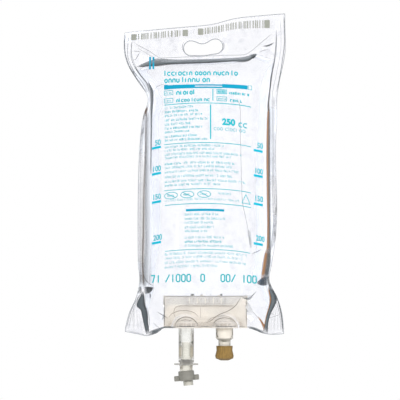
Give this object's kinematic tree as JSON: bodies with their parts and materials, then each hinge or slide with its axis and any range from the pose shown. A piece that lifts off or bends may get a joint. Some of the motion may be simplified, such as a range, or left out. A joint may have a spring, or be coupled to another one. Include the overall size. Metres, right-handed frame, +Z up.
{
  "type": "iv fluid bag",
  "caption": "Clear flexible bag of infusion fluid with a slotted hanging header, a spike port with a winged twist-off cap, and an additive port with a rubber stopper.",
  "frame": {"origin": "middle of the hanger hole in the header", "axes": "+Z up along the hanging bag, -Y out of its front, +X to the right as its front is seen"},
  "size_m": [0.1057, 0.034, 0.2436],
  "materials": {
    "film": "clear polyolefin film, glossy, slightly blue",
    "saline": "clear water-like fluid",
    "block": "milky cream polypropylene, moulded",
    "clear_tube": "clear flexible tube with a faint yellow cast",
    "port_plastic": "translucent grey polypropylene, moulded",
    "amber_rubber": "amber rubber, matt"
  },
  "bodies": {
    "bag": {"front_film": "film", "back_film": "film", "saline_fill": "saline", "port_block": "block", "spike_port_tube": "clear_tube", "spike_sleeve": "port_plastic", "additive_port_body": "block", "rubber_stopper": "amber_rubber"},
    "cap": {"twist_off_cap": "port_plastic"}
  },
  "joints": [
    {"name": "cap_pull_off", "type": "slide", "parent": "bag", "child": "cap", "axis": [0, 0, -1], "range_m": [0, 0.025]}
  ]
}
